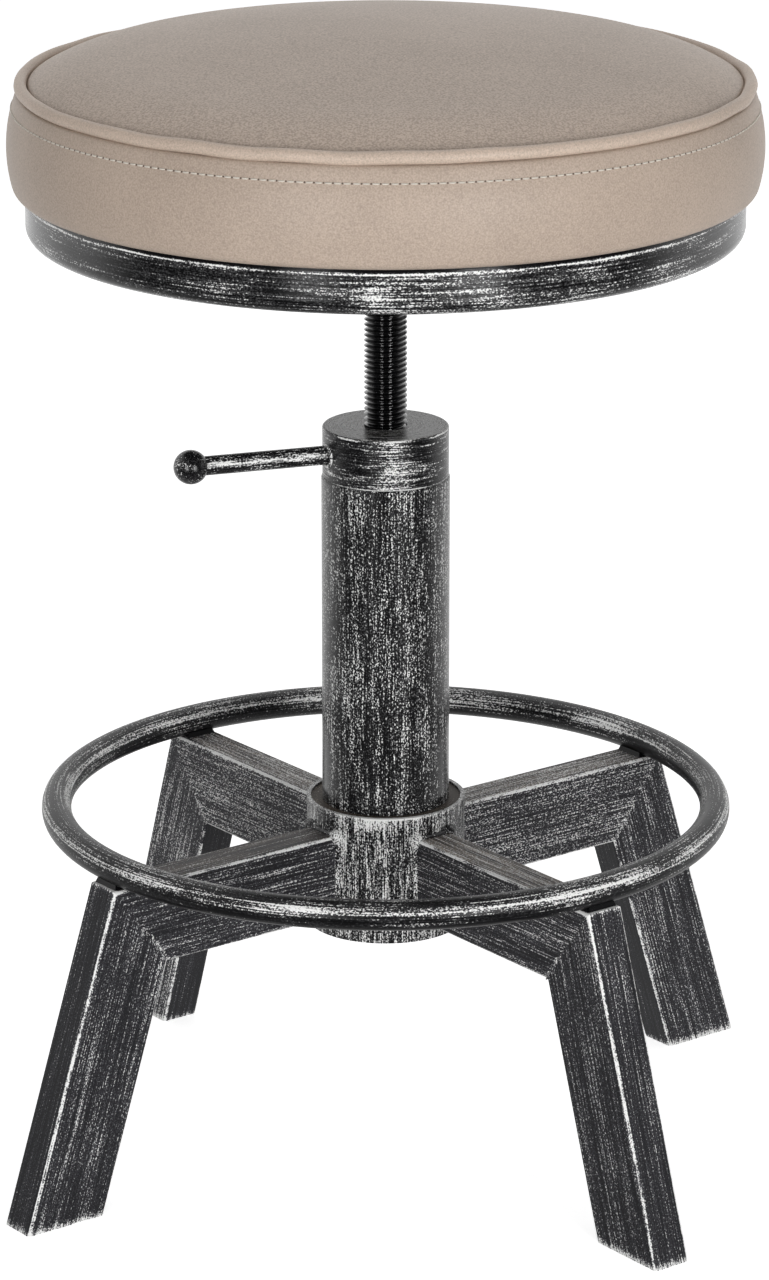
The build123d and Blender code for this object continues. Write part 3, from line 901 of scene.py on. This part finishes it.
def threaded_screw(material):
    """A right-hand thread down to the shoulder, then the turned end that the bush runs on."""
    low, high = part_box("height_screw")
    crest = high.x
    root = crest - THREAD_DEPTH
    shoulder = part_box("guide_bush")[1].z + BUSH_PLAY
    shape = [0.0, 0.0, 0.0, 0.25, 0.5, 0.75, 1.0, 1.0, 0.75, 0.5, 0.25, 0.0]
    per_pitch, segments, spigot_rows = len(shape), 72, 2
    step_height = SCREW_PITCH / per_pitch
    rows = int(round((high.z - shoulder) / step_height))
    round_axis = [(math.cos(turn), math.sin(turn)) for turn in even_turns(segments)]
    points, faces = [], []
    for height in (low.z, shoulder):
        points.extend((SPIGOT_RADIUS * x, SPIGOT_RADIUS * y, height) for x, y in round_axis)
    for row in range(-per_pitch, rows + 1):
        for s, (x, y) in enumerate(round_axis):
            height = shoulder + row * step_height + SCREW_PITCH * s / segments
            radius = root + (crest - root) * shape[row % per_pitch]
            if height <= shoulder or height >= high.z:
                radius = root
            height = min(max(height, shoulder), high.z)
            points.append((radius * x, radius * y, height))
    total = spigot_rows + rows + per_pitch + 1
    for row in range(total - 1):
        for s in range(segments):
            follow = (s + 1) % segments
            lift = per_pitch if follow == 0 and row >= spigot_rows else 0
            upper, lower = row + 1 + lift, row + lift
            if upper < total:
                faces.append((
                    row * segments + s,
                    lower * segments + follow,
                    upper * segments + follow,
                    (row + 1) * segments + s,
                ))
    piece = mesh_object("threaded_screw", points, faces)
    outward_faces(piece)
    return dress(piece, material, "seat", "black_screw", "height_screw")


# Stage, light and camera


def build_floor():
    rim = [on_circle(FLOOR_RADIUS, turn, 0) for turn in even_turns(FLOOR_SIDES)]
    floor = mesh_object("floor", rim, [tuple(range(FLOOR_SIDES))], smooth=False)
    graph = Graph("floor_white")
    graph.tree.nodes.remove(graph.shader)
    ray = graph.add("ShaderNodeLightPath").outputs
    seen = graph.times(ray["Is Camera Ray"], FLOOR_FILL)
    fill = graph.add("ShaderNodeEmission", {"Strength": seen})
    diffuse = graph.add("ShaderNodeBsdfDiffuse", {"Color": FLOOR_COLOUR})
    lit = graph.add("ShaderNodeAddShader", {0: diffuse.outputs[0], 1: fill.outputs[0]})
    forward = graph.vector("DOT_PRODUCT", graph.point, tuple(TOWARD_CAMERA))
    level = graph.remap(forward, -FLOOR_FADE / MM, FLOOR_FADE / MM, MIRRORED_BACK, MIRRORED_FRONT)
    mirrored = graph.add("ShaderNodeEmission", {"Strength": level})
    by_ray = {0: ray["Is Glossy Ray"], 1: lit.outputs[0], 2: mirrored.outputs[0]}
    shown = graph.add("ShaderNodeMixShader", by_ray)
    below = graph.add("ShaderNodeNewGeometry").outputs["Backfacing"]
    clear = graph.add("ShaderNodeBsdfTransparent")
    sided = graph.add("ShaderNodeMixShader", {0: below, 1: shown.outputs[0], 2: clear.outputs[0]})
    graph.put(graph.tree.nodes["Material Output"].inputs["Surface"], sided.outputs[0])
    floor.data.materials.append(graph.material)


def build_world():
    """White to the eye, and in reflections bright behind the stool and dim behind the camera."""
    world = bpy.data.worlds.new("studio")
    bpy.context.scene.world = world
    world.use_nodes = True
    graph = Nodes(world.node_tree)
    ray = graph.add("ShaderNodeLightPath").outputs
    sky = graph.add("ShaderNodeTexCoord").outputs["Generated"]
    forward = graph.vector("DOT_PRODUCT", sky, TOWARD_CAMERA)
    mirrored = graph.remap(forward, *SKY_FADE, MIRRORED_BACK, MIRRORED_FRONT)
    strength = AMBIENT
    for name, level in (("Is Glossy Ray", mirrored), ("Is Camera Ray", 1.0), ("Is Transmission Ray", 1.0)):
        strength = graph.add("ShaderNodeMix", {0: ray[name], 2: strength, 3: level}).outputs[0]
    background = graph.tree.nodes["Background"].inputs
    graph.put(background["Color"], (1, 1, 1, 1))
    graph.put(background["Strength"], strength)


def build_lights():
    for name, box in SOFTBOXES.items():
        light = bpy.data.lights.new(name, "AREA")
        light.shape = "RECTANGLE"
        light.size, light.size_y = box["size"]
        light.energy = box["watts"]
        lamp = bpy.data.objects.new(name, light)
        turn = math.radians(CAMERA_AZIMUTH + box["turn"])
        rise = math.radians(box["rise"])
        away = Vector((math.sin(turn) * math.cos(rise), -math.cos(turn) * math.cos(rise), math.sin(rise)))
        lamp.location = LIGHT_TARGET + away * box["distance"]
        lamp.rotation_euler = (-away).to_track_quat("-Z", "Y").to_euler()
        bpy.context.scene.collection.objects.link(lamp)


def build_camera():
    camera = bpy.data.objects.new("camera", bpy.data.cameras.new("camera"))
    camera.data.lens = CAMERA_LENS
    camera.location = on_circle(CAMERA_DISTANCE, CAMERA_TURN, CAMERA_HEIGHT)
    camera.rotation_euler = (math.radians(90 - CAMERA_PITCH), 0, math.radians(CAMERA_AZIMUTH + CAMERA_YAW))
    bpy.context.scene.collection.objects.link(camera)
    bpy.context.scene.camera = camera


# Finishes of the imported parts


def paint(node, material):
    nodes[node].data.materials.clear()
    nodes[node].data.materials.append(material)


def coat(node, look, *how, **marks):
    paint(node, distressed(f"paint_{look}", *how, **marks))


def corner_frame(corner):
    """Directions of one arm and its leg, and the ends of their mitre.

    The elbow is at the top outside and the throat at the bottom inside.
    """
    low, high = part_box(f"arm_{corner}")
    middle = (low + high) / 2
    outward = Vector((middle.x, middle.y, 0)).normalized()
    downward = outward * math.sin(LEG_SPLAY) - Z_AXIS * math.cos(LEG_SPLAY)
    aside = outward.cross(Z_AXIS)
    mitre = (downward - outward).normalized()
    reach = max(abs(low.x), abs(high.x)) * math.sqrt(2) - TUBE_WIDTH / 2
    elbow = outward * reach + Z_AXIS * high.z
    return SimpleNamespace(
        outward=outward,
        downward=downward,
        aside=aside,
        leg_face=aside.cross(downward),
        mitre=mitre,
        elbow=elbow,
        throat=elbow + mitre * (high.z - low.z) / abs(mitre.z),
        low=low.z,
        high=high.z,
    )


def edge_wear(graph, aside, face, strength, least):
    """Silver on the rounded corners beside a face, down to the least share of its strength in places."""
    across = graph.math("ABSOLUTE", graph.facing(aside))
    corner = graph.remap(graph.times(across, graph.facing(face)), *CORNER_LEVELS)
    patchy = graph.noise(graph.point, size=EDGE_PATCH_SIZE, detail=3.0, roughness=0.7)
    worn = graph.remap(patchy, *EDGE_PATCH_LEVELS, strength * least, strength)
    return graph.times(corner, worn)


def patches(graph, *spots):
    """Silver added in rubbed places, or taken away where the strength is negative, which some callers use for
    painted highlights and painted shade: (strength, centre, (direction, reach in millimetres), ...).
    """
    return graph.total(*(graph.times(graph.near(*where), strength) for strength, *where in spots))


def finish_frame_tubes():
    for number, corner in enumerate(CORNERS):
        at = corner_frame(corner)
        grind = at.throat - at.mitre * GRIND_RISE

        def mitre_wear(graph):
            return patches(
                graph,
                (0.26, at.elbow, (at.outward, 1.5), (Z_AXIS, 1.5)),
                (0.10, grind, (at.mitre, 9.0), (at.mitre.cross(at.aside), 1.2)),
            )

        def arm_wear_and_sheen(graph):
            # Painted sheen: silver added on the arm's top face
            top_sheen = graph.remap(graph.facing(Z_AXIS), *ARM_TOP, 0.0, ARM_TOP_PAINTED_SHEEN[number])
            upper = edge_wear(graph, at.aside, Z_AXIS, *ARM_UPPER_EDGE)
            lower = edge_wear(graph, at.aside, -Z_AXIS, *ARM_LOWER_EDGE)
            return graph.total(top_sheen, upper, lower, mitre_wear(graph))

        def arm_warm_sheen(graph):
            # Painted warm sheen on the arm's top face
            return graph.remap(graph.facing(Z_AXIS), *ARM_WARM_SHEEN_FACING, 0.0, ARM_TOP_WARM_SHEEN[number])

        def leg_wear_and_shade(graph):
            foot = patches(graph, (0.20, (0, 0, 0), (Z_AXIS, 2.5)))
            outer = edge_wear(graph, at.aside, at.leg_face, *LEG_OUTER_EDGE)
            inner = edge_wear(graph, at.aside, -at.leg_face, *LEG_INNER_EDGE)
            # Painted shade on the leg's outer face, and on its inner face below
            face = graph.remap(graph.facing(at.leg_face), *LEG_FACE, 0.0, OUTER_FACE_SHADE[number])
            back = graph.remap(graph.facing(-at.leg_face), *LEG_FACE, 0.0, INNER_FACE_SHADE)
            return graph.total(foot, outer, inner, face, back, mitre_wear(graph))

        along_arm, along_leg = brush_along(at.outward), brush_along(at.downward)
        arm_marks = BACK_ARM_MARKS if corner.startswith("back") else FRONT_ARM_MARKS
        coat(f"arm_{corner}", f"arm_{corner}", along_arm, arm_wear_and_sheen, arm_warm_sheen, **arm_marks)
        coat(f"leg_{corner}", f"leg_{corner}", along_leg, leg_wear_and_shade, cover=LEG_COVER[number], **LEG_MARKS)
        coat(f"foot_plate_{corner}", f"foot_{corner}", along_arm)


def front_point(aside, radius, height):
    """The point of an upright cylinder's front, so many millimetres to the right of its middle."""
    turn = CAMERA_TURN + math.asin(aside * MM / radius)
    return on_circle(radius, turn, height * MM)


def rub(strength, centre, across, up, deep):
    """A rubbed place for patches, with its reach along X, Z and Y in millimetres."""
    return strength, centre, (X_AXIS, across), (Z_AXIS, up), (Y_AXIS, deep)


def finish_turned_parts():
    around = brush_around
    upright = brush_along(Z_AXIS)
    hub_radius, _, hub_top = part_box("hub_tube")[1]
    collar_low, collar_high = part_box("lock_collar")
    column_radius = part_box("column_tube")[1].x

    def pan_wear_and_light(graph):
        return patches(
            graph,
            rub(0.09, front_point(-5, pan_high.x, 449), 8.0, 6.0, 40.0),
            rub(0.04, front_point(20, pan_high.x, 452), 70.0, 20.0, 60.0),
            # A silver line just under the rim as a painted highlight, and silver taken away along the rim as
            # painted shade under the cushion's overhang
            (0.16, (0, 0, pan_high.z - 2.2 * MM), (Z_AXIS, 0.6)),
            (-0.40, (0, 0, pan_high.z), (Z_AXIS, 1.1)),
        )

    def collar_wear(graph):
        return patches(
            graph,
            rub(0.13, front_point(4, collar_high.x, 338), 7.5, 11.0, 12.0),
            (0.20, (0, 0, collar_low.z), (Z_AXIS, 0.7)),
            rub(0.22, front_point(3, collar_high.x, collar_low.z / MM), 12.0, 1.6, 12.0),
            (0.14, (0, 0, collar_high.z - 0.6 * MM), (Z_AXIS, 0.5)),
        )

    def collar_warm_sheen(graph):
        # Painted warm sheen on the collar's top face
        return graph.remap(graph.facing(Z_AXIS), *COLLAR_TOP, 0.0, COLLAR_WARM_SHEEN)

    def column_wear(graph):
        smear = (Z_AXIS * math.cos(SMEAR_LEAN) + X_AXIS * math.sin(SMEAR_LEAN), 13.0)
        return patches(
            graph,
            (0.11, front_point(-18, column_radius, 222), smear, (X_AXIS, 2.4), (Y_AXIS, 6.0)),
            rub(0.06, front_point(-5, column_radius, 178), 5.0, 4.5, 12.0),
            rub(0.12, front_point(6, column_radius, 269), 1.4, 5.0, 6.0),
            # Less silver, darker, round the column's lower part
            (-0.04, (0, 0, 183 * MM), (Z_AXIS, 24.0)),
        )

    def hub_wear(graph):
        return patches(
            graph,
            rub(0.12, front_point(-8, hub_radius, 165), 14.0, 3.0, 9.0),
            rub(0.20, front_point(4, hub_radius, hub_top / MM), 22.0, 0.9, 16.0),
            (0.05, (0, 0, hub_top), (Z_AXIS, 0.7)),
        )

    def ring_painted_light(graph):
        # Painted highlight on the ring's upper side and painted shade on its underside
        lit = graph.times(graph.hump(graph.facing(Z_AXIS), *RING_HIGHLIGHT), RING_HIGHLIGHT_COVER)
        below = graph.remap(graph.facing(Z_AXIS), *RING_SHADE, RING_SHADE_COVER, 0.0)
        return graph.math("ADD", lit, below)

    def lever_painted_highlight(graph):
        # Painted highlight along the lever's upper side
        return graph.times(graph.hump(graph.facing(Z_AXIS), *LEVER_HIGHLIGHT), LEVER_HIGHLIGHT_COVER)

    coat("seat_pan", "pan", around, pan_wear_and_light, **PAN_MARKS)
    coat("screw_flange", "flange", around)
    coat("lock_collar", "collar", around, collar_wear, collar_warm_sheen, **COLLAR_MARKS)
    coat("column_tube", "column", upright, column_wear, **COLUMN_MARKS)
    coat("column_base_plug", "plug", around)
    coat("hub_tube", "hub", upright, hub_wear, **HUB_MARKS)
    # The sleeve's warm browns are painted warm light
    coat("hub_sleeve", "sleeve", around, **SLEEVE_MARKS)
    coat("hub_floor", "hub_floor", around)
    coat("foot_ring", "ring", around, ring_painted_light, **RING_MARKS)
    # Ring welds darkened nearly to black as painted shade under the ring
    coat("ring_welds", "ring_welds", around, **RING_WELD_SHADE_MARKS)
    coat("lever_rod", "lever", brush_along(lever_direction()), lever_painted_highlight, **LEVER_MARKS)
    coat("lever_ball", "ball", around, **BALL_MARKS)


def lever_direction():
    low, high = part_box("lever_rod")
    return Vector((low.x - high.x, low.y - high.y, 0)).normalized()


# Welds


def bead(path, sizes, closed=False, up=Z_AXIS, seed=1):
    """A lumpy run of weld metal along a path, of the radius given at each point."""
    draw = random.Random(seed)
    lumps = [size * draw.uniform(*BEAD_LUMPS) for size in sizes]
    return tube(path, lambda step: lumps[step], BEAD_SIDES, closed, up)


def hub_weld_paint(corners):
    """Weld paint, rubbed silver on the front side of these corners' beads and most at their upper ends."""

    def silver_shift(graph):
        spots = []
        for corner in corners:
            at = corner_frame(corner)
            near_side = math.copysign(1, at.aside.dot(TOWARD_CAMERA))
            depth = math.sqrt(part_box("hub_tube")[1].x ** 2 - (TUBE_WIDTH / 2) ** 2)
            root = at.outward * depth + at.aside * near_side * TUBE_WIDTH / 2
            spots.append(rub(0.45, root + Z_AXIS * at.high, 3.4, 3.4, 3.4))
            spots.append(rub(0.16, root + Z_AXIS * (at.low + at.high) / 2, 2.5, 16.0, 2.5))
        return patches(graph, *spots)

    return distressed("paint_hub_welds", brush_along(Z_AXIS), silver_shift, cover=HUB_WELD_COVER, **WELD_MARKS)


def hub_welds(material):
    """A bead round each arm where it meets the hub, with a blob at each upper corner."""
    hub_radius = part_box("hub_tube")[1].x
    half = TUBE_WIDTH / 2
    spacing = 1.1 * MM
    blob, blob_reach = 1.1, 2.8 * MM
    shells = []
    for number, corner in enumerate(CORNERS):
        at = corner_frame(corner)
        turns = [(half, at.low), (half, at.high), (-half, at.high), (-half, at.low)]
        path, sizes = [], []
        for here, after in zip(turns, turns[1:] + turns[:1]):
            start, run = Vector(here), Vector(after) - Vector(here)
            count = round(run.length / spacing)
            for step in range(count):
                spot = start + run * step / count
                depth = math.sqrt(hub_radius ** 2 - spot.x ** 2)
                path.append(at.outward * depth + at.aside * spot.x + Z_AXIS * spot.y)
                nearest = min((spot - Vector(corner_at)).length for corner_at in turns[1:3])
                sizes.append(HUB_BEAD * (1 + blob * math.exp(-((nearest / blob_reach) ** 2))))
        shells.append(bead(path, sizes, closed=True, up=at.outward, seed=number))
    return dress(gathered("hub_weld_beads", shells), material, "base", "distressed_paint")


def mitre_welds(material):
    """A broken, wavering bead up each side of a mitre from its throat."""
    steps, ripple, sway = 28, 7.0, 0.9 * MM
    mean, swing, quickness = 0.55, 0.45, 1.7
    shells = []
    for number, corner in enumerate(CORNERS):
        at = corner_frame(corner)
        across = at.mitre.cross(at.aside)
        for side in (-1, 1):
            path, sizes = [], []
            for step in range(steps + 1):
                turn = 2 * math.pi * step / ripple + number + side
                along = MITRE_BEAD + MITRE_BEAD_RUN * step / steps
                spot = at.throat - at.mitre * along + across * sway * math.sin(turn)
                path.append(spot + at.aside * side * TUBE_WIDTH / 2)
                sizes.append(MITRE_BEAD * (mean + swing * math.sin(quickness * turn)))
            shells.append(bead(path, sizes, up=at.aside, seed=number + side))
    return dress(gathered("mitre_weld_beads", shells), material, "base", "distressed_paint")


def lever_weld(material):
    """The bead round the lever's root, on the collar's side."""
    lever = lever_direction()
    aside = lever.cross(Z_AXIS)
    collar_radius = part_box("lock_collar")[1].x
    rod_low, rod_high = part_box("lever_rod")
    height = (rod_low.z + rod_high.z) / 2
    ring = (rod_high.z - rod_low.z) / 2 + LEVER_BEAD / 2
    steps = 26
    path = []
    for turn in even_turns(steps):
        offset = ring * math.cos(turn)
        depth = math.sqrt(collar_radius ** 2 - offset ** 2)
        path.append(lever * depth + aside * offset + Z_AXIS * (height + ring * math.sin(turn)))
    shell = bead(path, [LEVER_BEAD] * steps, closed=True, up=lever)
    return dress(gathered("lever_weld_bead", [shell]), material, "collar", "distressed_paint")


def flange_weld(material):
    """The fillet under the flange, round the screw."""
    flange_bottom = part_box("screw_flange")[0].z
    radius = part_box("height_screw")[1].x + FLANGE_BEAD / 2
    steps = 48
    path = []
    for turn in even_turns(steps):
        path.append(Vector((radius * math.cos(turn), radius * math.sin(turn), flange_bottom)))
    shell = bead(path, [FLANGE_BEAD] * steps, closed=True)
    return dress(gathered("flange_weld_bead", [shell]), material, "seat", "distressed_paint")


def finish_hardware():
    zinc = zinc_plate()
    bolts = ("seat_bolts", "stop_bolt", "centre_bolt")
    washers = ("seat_bolt_washers", "stop_washer", "centre_washer")
    for node in ("board_tee_nuts", *bolts, *washers):
        paint(node, zinc)
    paint("guide_bush", nylon())
    paint("seat_board", plywood())


bpy.context.scene.view_settings.view_transform = "Standard"
build_camera()
build_world()
build_lights()
build_floor()

band = side_band(leather("band_leather", hole_shade=True))
top_panel(leather("panel_leather", grain_size=0.95, contrast=1.6))
# The piping's leather is lightened as a painted highlight on its rounded front
piping(leather("piping_leather", highlight_gain=1.2))
stitches(thread_material(), band)

screw_finish = black_oxide()
threaded_screw(screw_finish)
paint("column_nut", screw_finish)
finish_frame_tubes()
finish_turned_parts()
finish_hardware()
weld_paint = distressed("paint_welds", brush_along(Z_AXIS), cover=WELD_COVER, **WELD_MARKS)
hub_welds(hub_weld_paint(CORNERS[2:]))
mitre_welds(weld_paint)
lever_weld(weld_paint)
flange_weld(weld_paint)
